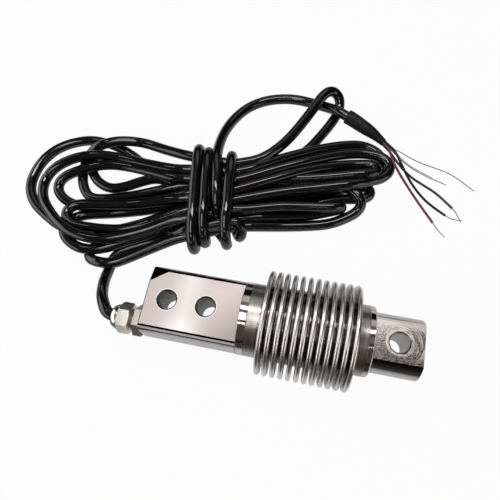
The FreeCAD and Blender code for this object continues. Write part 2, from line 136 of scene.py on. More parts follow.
class Finish(Sheet):
    # one material: a Principled shader with constant sockets set on it, and whatever is fed in later
    def __init__(self, name, **constants):
        self.material = bpy.data.materials.new(name)
        super().__init__(self.material)
        self.shader = self.tree.nodes["Principled BSDF"]
        for socket, value in constants.items():
            self.shader.inputs[socket.replace("_", " ")].default_value = value

    def feed(self, socket, value):
        self.tree.links.new(value.socket, self.shader.inputs[socket])

    def bump(self, height, strength, distance):
        self.feed("Normal", self.node("ShaderNodeBump", {}, {"Height": height, "Strength": strength,
                                                             "Distance": distance}))


def grey(level):
    return (level, level, level, 1)


# Meshes from grids

sharpPast = math.radians(35)


def gridFaces(rows, columns, closeRows, closeColumns):
    # quads between neighbours of a rows by columns grid, joined round where it closes on itself
    row = np.arange(rows if closeRows else rows - 1)
    column = np.arange(columns if closeColumns else columns - 1)
    here, across = np.meshgrid(row, column, indexing="ij")
    down, right = (here + 1) % rows, (across + 1) % columns
    corners = [(here, across), (down, across), (down, right), (here, right)]
    return np.stack([line * columns + place for line, place in corners], -1).reshape(-1, 4)


def outward(points, faces):
    # a closed skin whose volume comes out negative has every quad turned round
    a, b, c, d = (points[faces[:, corner]] for corner in range(4))
    volume = (a * np.cross(b, c) + a * np.cross(c, d)).sum()
    return faces if volume > 0 else faces[:, ::-1]


def meshPiece(name, points, faces, finish, caps=()):
    # points in metres and quads become a smooth piece, with sharp edges where faces turn past an angle
    points = points.reshape(-1, 3)
    mesh = bpy.data.meshes.new(name)
    mesh.from_pydata(points.tolist(), [], outward(points, faces).tolist() + list(caps))
    mesh.polygons.foreach_set("use_smooth", np.ones(len(mesh.polygons), bool))
    mesh.set_sharp_from_angle(angle=sharpPast)
    mesh.materials.append(finish.material)
    mesh.update()
    piece = bpy.data.objects.new(name, mesh)
    bpy.context.collection.objects.link(piece)
    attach(piece, "root")
    return piece


def turnedPiece(name, outline, finish, around):
    # a closed outline of (distance from the block's end, radius) turned about the sensor's axis
    distance, radius = np.array(outline, float).T
    angle = np.linspace(0, 2 * np.pi, around, endpoint=False)
    x = np.broadcast_to(distance[:, None] - sensor["endToOrigin"], (len(distance), around))
    y = radius[:, None] * np.sin(angle)
    z = radius[:, None] * np.cos(angle) + sensor["axisHeight"]
    faces = gridFaces(len(distance), around, True, True)
    return meshPiece(name, np.stack([x, y, z], -1) * mm, faces, finish)


# Finishes

# the sensor in mm: along x from the middle of the bolt holes, out from the holes' centres, up from the axis
sensor = {
    "endToOrigin": 18.65, "axisHeight": 9.6, "seam": 0.15,
    "endEdge": -18.3, "boltHole": 8.75, "blockEnd": 24.35, "lugStart": 80.0, "loadHole": 91.35,
    "bore": 4.15, "rim": 4.68, "rimHighlight": 5.0, "spotFace": 5.9,
    "flatReach": 9.57, "spotReach": 9.42, "edgeShadeLine": 9.08, "wornHighlightEdge": 7.9, "lowerShadeLine": 7.3,
    "lugShade": 7.2,
    "facet": (-10.4, 7.0, 17.25),  # its corner lies left of, beyond and above these
    "middle": 52.95, "cuffs": 20.2, "rootToCrest": (16.5, 22.8),  # of the bellows
}
bodyLooks = {
    "groundLight": (0.65, 0.565, 0.527, 1), "groundDark": (0.545, 0.468, 0.438, 1),
    "groundGrain": (0.66, 0.605, 0.58, 1), "groundShade": (0.36, 0.31, 0.286, 1),
    "highlightBand": (0.90, 0.885, 0.87, 1), "rimHighlight": (0.95, 0.93, 0.915, 1),
    "endEdge": (0.06, 0.055, 0.055, 1),
    "lugDark": (0.42, 0.37, 0.352, 1), "lugLight": (0.50, 0.45, 0.432, 1), "milled": (0.86, 0.83, 0.81, 1),
    "sideDark": (0.55, 0.53, 0.52, 1), "sideLight": (0.63, 0.61, 0.60, 1),
    "farEdgeShade": (0.07, 0.05, 0.046, 1), "facet": (0.022, 0.02, 0.02, 1),
    "darkLine": grey(0.03), "highlightLine": grey(0.92),
    "blockRimShade": grey(0.10), "lugRimShade": (0.27, 0.26, 0.255, 1),
    "boreDark": (0.13, 0.125, 0.12, 1), "boreLight": (0.30, 0.285, 0.275, 1),
    "boreTopShade": (0.045, 0.043, 0.042, 1), "lugBore": (0.72, 0.70, 0.68, 1),
    # the stretch over which each of these comes or goes, in metres
    "middleHighlight": (0.0, 0.009), "nearHighlight": (0.0, 0.014), "nearHighlightSide": (-0.012, -0.004),
    "shade": (0.012, 0.03), "shadeSlant": 0.8, "arcs": (-0.006, 0.008), "arcSheenSlant": 0.7,
    "farSheen": (0.0055, 0.0085), "boreShadeRise": (0.004, 0.018),
}


def groundSteelFinish():
    # lengthwise grinding on the block, milled swirls round the load hole, turned sides, and bores painted
    # dark as shade
    looks = bodyLooks
    steel = Finish("groundSteel")
    x, y, z = steel.axes()
    near = y < 0
    block = x < sensor["blockEnd"] * mm
    lug = x > sensor["lugStart"] * mm
    level = (z - sensor["axisHeight"] * mm).size()
    along = x - sensor["loadHole"] * mm
    fromHole = (along * along + y * y) ** 0.5
    toBolt = x.size() - sensor["boltHole"] * mm
    fromBolt = (toBolt * toBolt + y * y) ** 0.5
    bore = (fromHole < sensor["bore"] * mm) + (fromBolt < sensor["bore"] * mm)
    rim = (fromHole < sensor["rim"] * mm) + (fromBolt < sensor["rim"] * mm)
    inSpotFace = fromHole < sensor["spotFace"] * mm
    flat = (level > sensor["flatReach"] * mm) + inSpotFace * (level > sensor["spotReach"] * mm)
    flat = steel.between(flat * (1 - rim), 0.0, 1.0)

    # the block's ground flats: grain and clouds, painted shade towards the right and near side, and painted
    # highlight bands
    grain = steel.noise(steel.place((45, 5200, 900)), 3.0)
    cloud = steel.noise(steel.place((60, 90, 60)), 3.0)
    ground = steel.blend(cloud, looks["groundLight"], looks["groundDark"])
    ground = steel.blend(steel.between(grain, 0.35, 0.65, 0.0, 0.45), ground, looks["groundGrain"])
    # painted shade: the flats darken towards the right and the near side
    shade = steel.between(x - y * looks["shadeSlant"], *looks["shade"], 0.0, 0.8)
    ground = steel.blend(shade, ground, looks["groundShade"])
    # painted highlight: a pale band across the middle of the flats, and another on their near side
    highlightBand = steel.between(x.size(), *looks["middleHighlight"], 0.5, 0.0)
    nearHighlight = steel.between(x.size(), *looks["nearHighlight"], 1.0, 0.0)
    nearHighlight = nearHighlight * steel.between(y, *looks["nearHighlightSide"], 0.55, 0.0)
    ground = steel.blend(highlightBand + nearHighlight, ground, looks["highlightBand"])
    # painted highlight: a pale ring on the flats round the bolt holes' rims
    ground = steel.blend((fromBolt < sensor["rimHighlight"] * mm) * 0.7, ground, looks["rimHighlight"])
    # painted shade: a dark line along the flats' end edge
    ground = steel.blend(x < sensor["endEdge"] * mm, ground, looks["endEdge"])

    # the lug's milled flats: arcs round the load hole, fading in towards the far right as painted sheen, a
    # painted sheen strip along the far edge, stray scratches, and the faced spot, brighter on its left as
    # painted sheen
    angle = steel.angle(y, along)
    arcs = steel.between(steel.streaks(fromHole * 2100.0, angle * 1.1, 3.0), 0.46, 0.66)
    arcs = arcs * steel.between(y + along * looks["arcSheenSlant"], *looks["arcs"], 0.05, 0.75)
    farSheen = steel.between(y, *looks["farSheen"], 0.0, 0.6)
    stray = steel.scratches((500, 2600, 1), (0, 0, 0.7), 0.012)
    stray = stray + steel.scratches((400, 3000, 1), (0, 0, -0.9), 0.012)
    facing = steel.streaks(fromHole * 1800.0, angle * 2.4, 2.0)
    spotFace = inSpotFace * steel.between(facing - along * 18.0, 0.3, 0.75, 0.0, 0.9)
    milled = lug * flat * steel.between(arcs + farSheen + stray * 0.35 + spotFace, 0.0, 1.0)
    lugColour = steel.blend(cloud, looks["lugDark"], looks["lugLight"])
    lugColour = steel.blend(milled, lugColour, looks["milled"])

    # the turned sides, with dark and pale lines along their edges, painted as shade and highlights
    turned = steel.noise(steel.place((3800, 120, 120)), 2.0)
    left, beyond, above = sensor["facet"]
    facet = (x < left * mm) * (y > beyond * mm) * (z > above * mm)
    seam = (x - sensor["blockEnd"] * mm).size() < sensor["seam"] * mm
    nearSide = block * near * (1 - rim) * (1 - facet)
    nearLug = lug * near * (1 - rim)
    onEdge = level > sensor["edgeShadeLine"] * mm
    edgeShadeLine = (block * (1 - rim) + nearLug) * onEdge
    wornAndHighlight = nearSide * (level > sensor["wornHighlightEdge"] * mm) * (level < sensor["edgeShadeLine"] * mm)
    lowerShadeLine = nearSide * (level > sensor["lowerShadeLine"] * mm) * (level < sensor["wornHighlightEdge"] * mm)
    lugShade = nearLug * (level > sensor["lugShade"] * mm)
    farEdgeShade = block * (1 - near) * (z > (sensor["axisHeight"] + sensor["lowerShadeLine"]) * mm)
    side = steel.blend(turned, looks["sideDark"], looks["sideLight"])
    # painted shade: the block's far side is near black along its upper part
    side = steel.blend(farEdgeShade * 0.8, side, looks["farEdgeShade"])
    # painted shade: dark lines along the top edges and a second one lower on the near side; the seam is a
    # real dark joint where the block meets the ring
    side = steel.blend(seam + edgeShadeLine + lowerShadeLine, side, looks["darkLine"])
    side = steel.blend(lugShade * 0.5, side, looks["darkLine"])
    # painted highlight: a pale strip on the near side just under the edge, which is also rougher and less
    # metallic as wear, and a pale line along the lug's far edge
    side = steel.blend(wornAndHighlight + lug * (1 - near) * onEdge, side, looks["highlightLine"])
    # painted shade: the chamfers round the holes are dark
    side = steel.blend(rim, side, steel.blend(lug, looks["blockRimShade"], looks["lugRimShade"]))
    # painted shade: the corner facet is near black, a painted dark reflection
    side = steel.blend(facet, side, looks["facet"])

    # the bores, streaked by the drill, painted dark as shade and darker still towards the top
    drilled = steel.streaks(steel.angle(y, toBolt) * 2.2, z * 90.0, 3.0)
    inside = steel.blend(steel.between(drilled, 0.35, 0.65), looks["boreDark"], looks["boreLight"])
    inside = steel.blend(steel.between(z, *looks["boreShadeRise"], 0.0, 0.75), inside, looks["boreTopShade"])
    inside = steel.blend(lug * 0.8, inside, looks["lugBore"])

    colour = steel.blend(flat, side, steel.blend(lug, ground, lugColour))
    steel.feed("Base Color", steel.blend(bore, colour, inside))
    steel.feed("Metallic", 1 - wornAndHighlight * 0.8)
    groundRough = 0.44 + grain * 0.12
    lugRough = 0.16 + cloud * 0.06 + milled * 0.34
    sideRough = 0.10 + turned * 0.08 + rim * 0.16 + bore * 0.04 + wornAndHighlight * 0.4
    steel.feed("Roughness", flat * ((1 - lug) * groundRough + lug * lugRough) + (1 - flat) * sideRough)
    steel.bump(flat * (grain * (1 - lug) + milled * 0.3) + (1 - flat) * turned * 0.3, 0.22, 0.00003)
    return steel


def mirrorSteelFinish():
    # bright turned rings: the turning lines go round the axis, so they change along x only
    steel = Finish("mirrorTurnedSteel", Metallic=1.0)
    lines = steel.noise(steel.place((5200, 60, 60)), 3.0)
    cloud = steel.clouds(140, 3.0)
    shade = steel.between(lines * 0.6 + cloud * 0.4, 0.35, 0.65)
    steel.feed("Base Color", steel.blend(shade, (0.58, 0.55, 0.535, 1), (0.68, 0.655, 0.64, 1)))
    steel.feed("Roughness", 0.07 + lines * 0.07)
    steel.bump(lines, 0.12, 0.00002)
    return steel


def bellowsSteelFinish():
    # thin formed wall: pale on the crests, with painted warm shade darkening it down in the roots, satin on
    # the plain cuffs
    steel = Finish("formedSteel", Metallic=1.0)
    x, y, z = steel.axes()
    up = z - sensor["axisHeight"] * mm
    root, crest = sensor["rootToCrest"]
    rise = steel.between((y * y + up * up) ** 0.5, root * mm, crest * mm)
    cloud = steel.noise(steel.place((90, 260, 260)), 3.0)
    cuff = (x - sensor["middle"] * mm).size() > sensor["cuffs"] * mm
    lines = steel.noise(steel.place((4200, 50, 50)), 2.0)
    # painted shade: dark and warm in the roots, pale on the crests, by distance from the axis
    wall = steel.blend(rise * rise, (0.29, 0.261, 0.245, 1), (0.92, 0.90, 0.89, 1))
    wall = steel.blend(cloud * 0.2, wall, (0.60, 0.57, 0.55, 1))
    satin = steel.between(lines, 0.35, 0.65)
    satin = steel.blend(satin, (0.40, 0.368, 0.345, 1), (0.51, 0.482, 0.464, 1))
    steel.feed("Base Color", steel.blend(cuff, wall, satin))
    steel.feed("Roughness", 0.20 + rise * 0.07 + cloud * 0.03 + cuff * (lines * 0.1 + 0.05))
    steel.bump(cuff * lines, 0.15, 0.00002)
    return steel


def platedFinish(name, light, dark, rough):
    # nickel plate in clouds of two colours, with small handling marks
    plate = Finish(name, Metallic=1.0)
    cloud = plate.clouds(160, 4.0)
    marks = plate.scratches((900, 2600, 1500), (0.4, 0.3, 0.5), 0.018)
    colour = plate.blend(cloud, light, dark)
    plate.feed("Base Color", plate.blend(marks * 0.5, colour, (0.88, 0.86, 0.80, 1)))
    plate.feed("Roughness", rough + cloud * 0.10 + marks * 0.1)
    plate.bump(cloud + marks * 0.3, 0.08, 0.00004)
    return plate


def jacketFinish():
    # glossy black jacket, a little uneven as extruded, with dulled patches from handling
    jacket = Finish("glossyJacket", Specular_IOR_Level=0.1,
                    Coat_Weight=1.0, Coat_IOR=1.62, Coat_Roughness=0.04)
    wave = jacket.clouds(260, 2.0)
    dust = jacket.clouds(2600, 2.0)
    jacket.feed("Base Color", jacket.blend(wave, (0.0025, 0.0025, 0.0028, 1), (0.005, 0.005, 0.0055, 1)))
    jacket.feed("Roughness", 0.20 + wave * 0.12 + dust * 0.05)
    jacket.bump(wave * 0.8 + dust * 0.03, 0.05, 0.0004)
    return jacket


def shrunkFinish():
    # matt heat-shrink with fine creases round it
    tube = Finish("heatShrink", Specular_IOR_Level=0.3)
    crease = tube.clouds(420, 4.0)
    fine = tube.clouds(2400, 2.0)
    tube.feed("Base Color", tube.blend(crease, (0.006, 0.006, 0.007, 1), (0.017, 0.017, 0.019, 1)))
    tube.feed("Roughness", 0.42 + fine * 0.2)
    tube.bump(crease + fine * 0.15, 0.3, 0.0003)
    return tube


def insulationFinish(name, light, dark):
    # thin extruded insulation: colour drifts along the core, with small scuffs
    skin = Finish(name, IOR=1.47)
    drift = skin.clouds(300, 3.0)
    scuff = skin.clouds(3000, 2.0)
    skin.feed("Base Color", skin.blend(drift, dark, light))
    skin.feed("Roughness", 0.28 + scuff * 0.16)
    skin.bump(drift + scuff * 0.1, 0.1, 0.0002)
    return skin


def tinnedFinish():
    # tinned copper: grey, dulled in patches where the tin is thin
    wire = Finish("tinnedCopper", Metallic=1.0)
    patch = wire.clouds(700, 3.0)
    wire.feed("Base Color", wire.blend(patch, (0.17, 0.162, 0.155, 1), (0.28, 0.272, 0.262, 1)))
    wire.feed("Roughness", 0.28 + patch * 0.2)
    return wire


def mouldedFinish(name, light, dark, rough):
    # small moulded and printed parts: speckled colour and a fine skin
    part = Finish(name)
    speckle = part.clouds(1800, 3.0)
    cloud = part.clouds(200, 2.0)
    part.feed("Base Color", part.blend(speckle * 0.5 + cloud * 0.5, dark, light))
    part.feed("Roughness", rough + speckle * 0.12)
    part.bump(speckle, 0.15, 0.00008)
    return part


groundSteel = groundSteelFinish()
mirrorSteel = mirrorSteelFinish()
bellowsSteel = bellowsSteelFinish()
# the nut's nickel plate, and a darker copy of it for the gland body, as painted shade
plate = platedFinish("nickelPlate", (0.97, 0.94, 0.84, 1), (0.87, 0.835, 0.745, 1), 0.13)
shadedPlate = platedFinish("shadedNickelPlate", (0.54, 0.475, 0.425, 1), (0.46, 0.40, 0.355, 1), 0.32)
jacket = jacketFinish()
shrunk = shrunkFinish()
tinned = tinnedFinish()
insulation = {
    "red": insulationFinish("redInsulation", (0.30, 0.055, 0.105, 1), (0.16, 0.028, 0.055, 1)),
    "black": insulationFinish("blackInsulation", (0.006, 0.006, 0.006, 1), (0.003, 0.003, 0.003, 1)),
    "green": insulationFinish("greenInsulation", (0.012, 0.075, 0.04, 1), (0.006, 0.04, 0.022, 1)),
    "white": insulationFinish("whiteInsulation", (0.80, 0.785, 0.765, 1), (0.72, 0.705, 0.685, 1)),
}
rubber = mouldedFinish("sealRubber", (0.030, 0.030, 0.030, 1), (0.014, 0.014, 0.014, 1), 0.55)
claw = mouldedFinish("clawPlastic", (0.62, 0.60, 0.55, 1), (0.52, 0.50, 0.46, 1), 0.40)
board = mouldedFinish("terminalBoard", (0.05, 0.17, 0.08, 1), (0.02, 0.09, 0.04, 1), 0.35)
component = mouldedFinish("component", (0.06, 0.05, 0.05, 1), (0.03, 0.025, 0.025, 1), 0.40)
gaugeFoil = mouldedFinish("gaugeFoil", (0.62, 0.44, 0.16, 1), (0.46, 0.30, 0.09, 1), 0.30)

nodeFinish = {
    "measuring_body": groundSteel, "gland_body": shadedPlate, "gland_nut": plate, "gland_o_ring": rubber,
    "gland_seal": rubber, "gland_claw": claw, "cable_entry": jacket, "terminal_board": board,
    "balance_resistor": component, "span_resistor_a": component, "span_resistor_b": component,
}
for name, node in nodes.items():
    finish = nodeFinish.get(name)
    if name.startswith("gauge_"):
        finish = tinned if name.startswith("gauge_wire") else gaugeFoil
    if name.startswith("inner_"):
        finish = insulation[name.split("_")[1]]
    if finish:
        node.data.materials.clear()
        node.data.materials.append(finish.material)
print("finishes made")

# Cable: the hank's own axes are u along the strands, w away from the sensor, h up from the floor, in mm

hank = {
    "centre": (-7.2, 63.2), "angle": 11.0, "floor": -13.45,
    "cable": 5.6, "length": 3.37,
    "laneEnds": (-10, 11), "laneHeight": {"low": 8.4, "high": 13.4},
    # w of each lane through the waist at its left and right end, far lane first
    "low": [
        (12, 15), (8, 9.8), (3.4, 4.6), (-1.4, -0.4), (-6.6, -5.2), (-12, -9.6), (-17.4, -13.6),
        (-22, -17.4),
    ],
    "high": [
        (22, 16.8), (14.2, 11.6), (8.4, 6.4), (-3, 0.6), (-9, -4.8), (-15, -9.6), (-20.4, -16.6),
    ],
}
gland = {"mouth": (-33.45, -9.8, 9.6), "straight": 1.2}

leadRoute = [
    (-43.9, -64.5, 22.8), (-46.3, -60.2, 21.2), (-48.5, -56, 18.4), (-50.1, -51.6, 14.8),
    (-51.6, -46, 10.4), (-52.2, -40.4, 5.6), (-52.2, -35.6, 2.9), (-51, -31.4, 2.9), (-47, -27.6, 2.9),
    (-40.6, -25.4, 2.9), (-31, -22.8, 2.9), (-19, -19, 6),
]
loopRoute = [
    (18.4, 17.6, 13.2), (26.4, 19.4, 13), (34.6, 24.8, 12.6), (42.2, 32.4, 12), (49.2, 41.8, 11.6),
    (56.2, 51.8, 11.6), (60.8, 59.4, 11.2), (64.8, 64.3, 10.2), (68.6, 65.9, 8.4), (71.8, 64, 6),
    (72.4, 59.4, 3.8), (70.4, 53.8, 2.9), (66.8, 48, 2.9), (62.7, 42.5, 2.9), (58.2, 37, 2.9),
    (53.5, 31.6, 2.9), (47, 26.4, 2.9), (38, 21, 2.9), (26, 15.6, 3.2),
]
tailRoute = [
    (2.6, -14.2, 7.4), (4.2, -14.8, 12), (4.4, -10.2, 16.8), (4.2, 0, 19.2), (4.3, 9.5, 19.2),
    (3.7, 18.6, 17.8), (4.5, 29.4, 14), (7, 40.6, 10), (11.8, 51.2, 6.5), (19.2, 60.4, 3.8),
    (29, 65.4, 2.9), (40.3, 66.4, 2.9), (49.4, 64.9, 3), (57.2, 61.2, 4), (64.4, 56.6, 6.4),
    (69.8, 52.1, 8.9), (75, 47.9, 9), (78, 45.8, 8.8),  # this one lies in the sleeve
]

# each turn of the hank as the cable runs: a lane through the waist, then a loop beyond it
turns = [
    ("low", 6, [
        (26, -12, 8), (40, -10.6, 4), (52, -9.4, 2.9), (60.4, -7.8, 2.9), (65.4, -6.8, 2.9),
        (68.6, -6.8, 4.6), (68.6, -7.2, 8.2), (65.4, -7.8, 9.9), (60, -8, 9.9), (50, -7.2, 9.4),
        (35, -7.2, 11), (19, -10, 13),
    ]),
    ("high", 5, [
        (-19, -15.6, 13.6), (-31, -20.4, 13.2), (-45, -24, 13), (-57, -24.8, 13), (-67.4, -22.2, 12.6),
        (-77.6, -16.6, 11.8), (-85.8, -8, 8.6), (-92.8, 1, 6), (-95.7, 9.2, 4.6), (-94.8, 16.6, 4.6),
        (-89.8, 23, 5.4), (-80.2, 27, 7), (-69, 28, 9), (-59, 27.2, 9), (-47, 24.2, 9), (-31, 18.6, 11),
        (-18, 14.6, 13),
    ]),
    ("high", 1, [
        (20, 13, 13.4), (32, 18.6, 11.4), (48, 24.6, 9.4), (61, 28.8, 7), (73, 31.8, 5),
        (83.4, 32.4, 3.4), (90.8, 28, 2.9), (93.6, 23, 2.9), (92, 17.6, 2.9), (86, 14.4, 2.9),
        (72, 13, 2.9), (50, 11, 2.9), (29, 6.6, 6.2),
    ]),
    ("low", 2, [
        (-18, 2.2, 7), (-36, -0.2, 3.2), (-50, -0.8, 2.9), (-62, -1, 2.9), (-72, -1.4, 2.9),
        (-80, 1.4, 3.6), (-84.8, 5.4, 4), (-87, 10, 4.4), (-85.4, 14.8, 5.4), (-79.6, 18, 6.6),
        (-66, 21.2, 8.5), (-55, 21.6, 8.6), (-43, 18.8, 9.2), (-30, 14, 11.2), (-18, 9.2, 13),
    ]),
    ("high", 2, [
        (20, 8.6, 13), (38, 15, 12), (63, 22, 10), (76, 24, 9), (84.6, 23.8, 8.6), (91, 21.8, 8.6),
        (95, 17.8, 8.6), (95, 12.8, 8.6), (91, 8.8, 8.6), (84.6, 7, 9), (77, 4, 12), (68, 3, 12.5),
        (56, 2, 12), (38, 0.6, 12),
    ]),
    ("high", 4, [
        (-22, -11.8, 11.4), (-34, -15.6, 9), (-46, -18, 8.6), (-57, -17.4, 8.6), (-66, -15.9, 8.6),
        (-73, -14.4, 8.6), (-77.4, -10.6, 8.6), (-77.4, -5.6, 8.6), (-72.8, -2.4, 8.6), (-64, -2.6, 8.6),
        (-53, -3.2, 8.6), (-38, -3.4, 9), (-19, -2.8, 13),
    ]),
    ("high", 3, [
        (26, 5, 13.4), (50, 13.4, 11), (69, 17, 8.8), (79.6, 17.5, 8.2), (85.4, 17, 8.4),
        (88.6, 14.9, 9.2), (88.4, 11.9, 10.6), (85, 10, 11.7), (77, 9.6, 12), (68, 9.4, 10.8),
        (50, 9, 9.4), (26, 10.2, 9),
    ]),
    ("low", 1, [
        (-22, 6.4, 8), (-33.7, 4.6, 6.5), (-46.9, 3.2, 4.5), (-61.5, 3, 2.9), (-68.2, 4.2, 2.9),
        (-71.8, 8.4, 2.9), (-74, 14.3, 2.9), (-74.6, 21, 2.9), (-73.8, 27.6, 2.9), (-70.4, 32.8, 4.6),
        (-65, 34.6, 8), (-57, 36.2, 9), (-50, 36.9, 8.5), (-39, 35.8, 7.6), (-26, 29.6, 9),
    ]),
    ("high", 0, loopRoute),
    ("low", 0, [
        (-24, 11, 4), (-34, 18.6, 3), (-43, 27.6, 2.9), (-53, 35, 2.9), (-63, 39.8, 2.9),
        (-75, 42.2, 2.9), (-90, 38.4, 2.9), (-99.4, 29.8, 2.9), (-103.8, 18.6, 2.9), (-103.8, 9.6, 2.9),
        (-99.2, 0.8, 2.9), (-91.4, -6.2, 2.9), (-83, -12.8, 2.9), (-72.4, -16, 2.9), (-58, -17, 2.9),
        (-38, -13, 3.4), (-20, -8, 7.4),
    ]),
    ("low", 4, [
        (26, -4, 6.4), (40, -0.6, 3), (54, 2.6, 2.9), (71, 6.2, 2.9), (77.6, 7.2, 2.9), (82, 6.9, 2.9),
        (84.8, 5.2, 2.9), (84.8, 1.8, 2.9), (82, 0, 2.9), (77, -0.3, 2.9), (68, 0, 2.9), (47, -4.6, 2.9),
        (26, -8.4, 6.6),
    ]),
    ("low", 5, [
        (-17, -14, 8.2), (-30, -20, 8), (-45, -24.6, 8), (-54, -27.8, 8), (-62, -28.6, 8),
        (-69.4, -27, 8), (-75.8, -22.2, 8.4), (-78.4, -15.6, 8.4), (-77, -10.4, 5), (-73, -6.8, 2.9),
        (-66, -5.8, 2.9), (-56, -5.8, 2.9), (-44, -5, 2.9), (-32, -4.4, 4), (-19, -2.6, 7.6),
    ]),
    ("low", 3, [
        (26, 1.4, 8.4), (47, 4.4, 8.6), (66, 5.8, 7.8), (73.4, 3.6, 7.6), (78, -0.8, 8), (79.4, -4.6, 6),
        (77.4, -8, 3.5), (71, -11.4, 2.9), (62, -14.7, 2.9), (50, -15.4, 2.9), (35, -15.8, 4),
        (20, -17, 8),
    ]),
    ("low", 7, [
        (-17, -23, 8), (-30, -28.4, 8), (-41, -33.4, 8.4), (-49, -36.6, 8.6), (-56, -35.8, 8.6),
        (-61.8, -33.4, 6.6), (-64.2, -29.4, 4), (-62.8, -25.2, 2.9), (-56.4, -22.8, 2.9),
        (-46, -20.4, 2.9), (-32, -16.4, 2.9), (-24, -17.4, 4.2), (-17, -20.2, 9),
    ]),
]
# out of the last lane and down to the wraps
afterTurns = [(15, -17, 13.2), (17, -19.6, 11.2), (16.6, -22.2, 7.8), (15, -21.6, 4), (13.4, -17, 2.9)]

# the end's wraps round the waist: where each crosses the top, far and near, and how far it reaches
wraps = [
    {"u": (11.6, 9.2), "far": 20.7, "near": -26.6},
    {"u": (-1, -2), "far": 23.6, "near": -25.4},
    {"u": (-6.2, -7.4), "far": 25.6, "near": -28.8},
]
innerLoop = [
    (-9, -19, 2.9), (-10, -6, 2.9), (-12.6, 6, 2.9), (-19, 13.4, 2.9), (-32, 18.4, 2.9), (-46, 23, 2.9),
    (-59.6, 29.2, 2.9), (-65.4, 31, 2.9), (-69.2, 28.8, 2.9), (-70.2, 23.8, 2.9), (-68, 18.4, 2.9),
    (-64.4, 13.4, 2.9), (-57, 9, 3.5), (-48.3, 9.2, 5), (-39.1, 11.6, 6.5), (-28.4, 12.8, 8.4),
    (-18, 7.6, 6), (-8, 0, 5.8), (-1.8, -8.4, 5.8),
]


def onHank(points):
    # from the hank's axes to the model's frame, in metres
    u, w, h = np.array(points, float).T
    turn = math.radians(hank["angle"])
    x = hank["centre"][0] + u * math.cos(turn) - w * math.sin(turn)
    y = hank["centre"][1] + u * math.sin(turn) + w * math.cos(turn)
    return np.stack([x, y, hank["floor"] + h], -1) * mm


def waistLane(layer, index):
    # the two points of a lane through the waist, left end first
    height = hank["laneHeight"][layer]
    return [(end, w, height) for end, w in zip(hank["laneEnds"], hank[layer][index])]


def wrapTurn(wrap):
    # points (u, w, h) once round the waist: under it from near to far, up, over the top and down again
    overFar, overNear = wrap["u"]
    far, near = wrap["far"], wrap["near"]
    drift = (overFar + overNear) / 2
    under = [(overFar + 1, w, 2.9) for w in (near / 2, near / 6, far / 3, far - 8)]
    rise = [(overFar, far, 4.6), (overFar, far + 2.4, 10.4), (overFar, far - 0.6, 17)]
    over = [(overFar, far - 11, 19.3), (drift, far / 3 - 4, 19.4),
            (drift, near / 3, 19.4), (overNear, near + 10, 19)]
    fall = [(overNear, near + 0.6, 16), (overNear, near - 1.6, 9.5), (overNear, near + 1.6, 4.4)]
    return under + rise + over + fall


def cableRoute():
    # the lead, the turns with every other lane run leftwards, the wraps, the inner loop and the tail
    route = list(leadRoute)
    goingRight = True
    for layer, index, loop in turns:
        lane = waistLane(layer, index)
        route = route + (lane if goingRight else lane[::-1]) + loop
        goingRight = not goingRight
    route = route + waistLane("high", 6) + afterTurns
    for wrap in wraps:
        route = route + wrapTurn(wrap)
    return route + innerLoop + tailRoute


cordSteps = {"along": 6, "round": 6}


def cordLine(name, points):
    # a NURBS line with the route's points as its control points
    line = bpy.data.curves.new(name, "CURVE")
    line.dimensions = "3D"
    spline = line.splines.new("NURBS")
    spline.points.add(len(points) - 1)
    spline.points.foreach_set("co", np.column_stack([points, np.ones(len(points))]).ravel())
    spline.order_u = 3
    spline.use_endpoint_u = True
    spline.resolution_u = cordSteps["along"]
    return line


def cordPiece(name, points, diameter, finish):
    # the route's line thickened to a round cord
    line = cordLine(name, points)
    line.bevel_depth = diameter / 2
    line.bevel_resolution = cordSteps["round"]
    line.use_fill_caps = True
    line.materials.append(finish.material)
    piece = bpy.data.objects.new(name, line)
    bpy.context.collection.objects.link(piece)
    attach(piece, "root")
    return piece


def splinePath(points):
    # the points of the route's own NURBS line, read from a copy with no thickness
    guide = cordLine("guide", points)
    guideObject = bpy.data.objects.new("guide", guide)
    line = bpy.data.meshes.new_from_object(guideObject)
    spots = np.empty(len(line.vertices) * 3)
    line.vertices.foreach_get("co", spots)
    bpy.data.objects.remove(guideObject)
    bpy.data.curves.remove(guide)
    bpy.data.meshes.remove(line)
    return spots.reshape(-1, 3)


def pathFrame(path):
    # at each point of a path: the way ahead, the level way across it, and square up from both
    ahead = np.gradient(path, axis=0)
    ahead /= np.linalg.norm(ahead, axis=1, keepdims=True)
    across = np.cross(ahead, (0, 0, 1))
    across /= np.linalg.norm(across, axis=1, keepdims=True)
    return ahead, across, np.cross(across, ahead)


mouth = np.array(gland["mouth"]) * mm
mouthAhead = mouth - np.array([gland["straight"], 0, 0]) * mm
cablePoints = np.vstack([mouth, mouthAhead, onHank(cableRoute())])
cable = cordPiece("cable", cablePoints, hank["cable"] * mm, jacket)
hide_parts("cable_lead", "cable_hank", "cable_wrap_left", "cable_wrap_middle", "cable_wrap_right",
            "cable_loop", "cable_tail")
print("cable laid:", len(cablePoints), "points")

# Sleeve: shrunk from the jacket down to the cores, creased, with a wall that shows at its open end

shrinkSleeve = {
    "route": [(75, 47.9, 9), (86, 40.3, 8.2), (94, 32, 6.2)],
    "along": (0, 0.06, 0.3, 0.5, 0.68, 0.85, 1), "radius": (3.85, 3.95, 3.75, 3.5, 2.95, 2.3, 1.95),
    "bore": 2.85, "wall": 0.5, "crease": 0.09, "rows": 60, "sides": 56,
}


def tubeRing(across, up, angle):
    # at each point of a path, unit spokes at the given angles
    return across[:, None] * np.cos(angle)[:, None] + up[:, None] * np.sin(angle)[:, None]


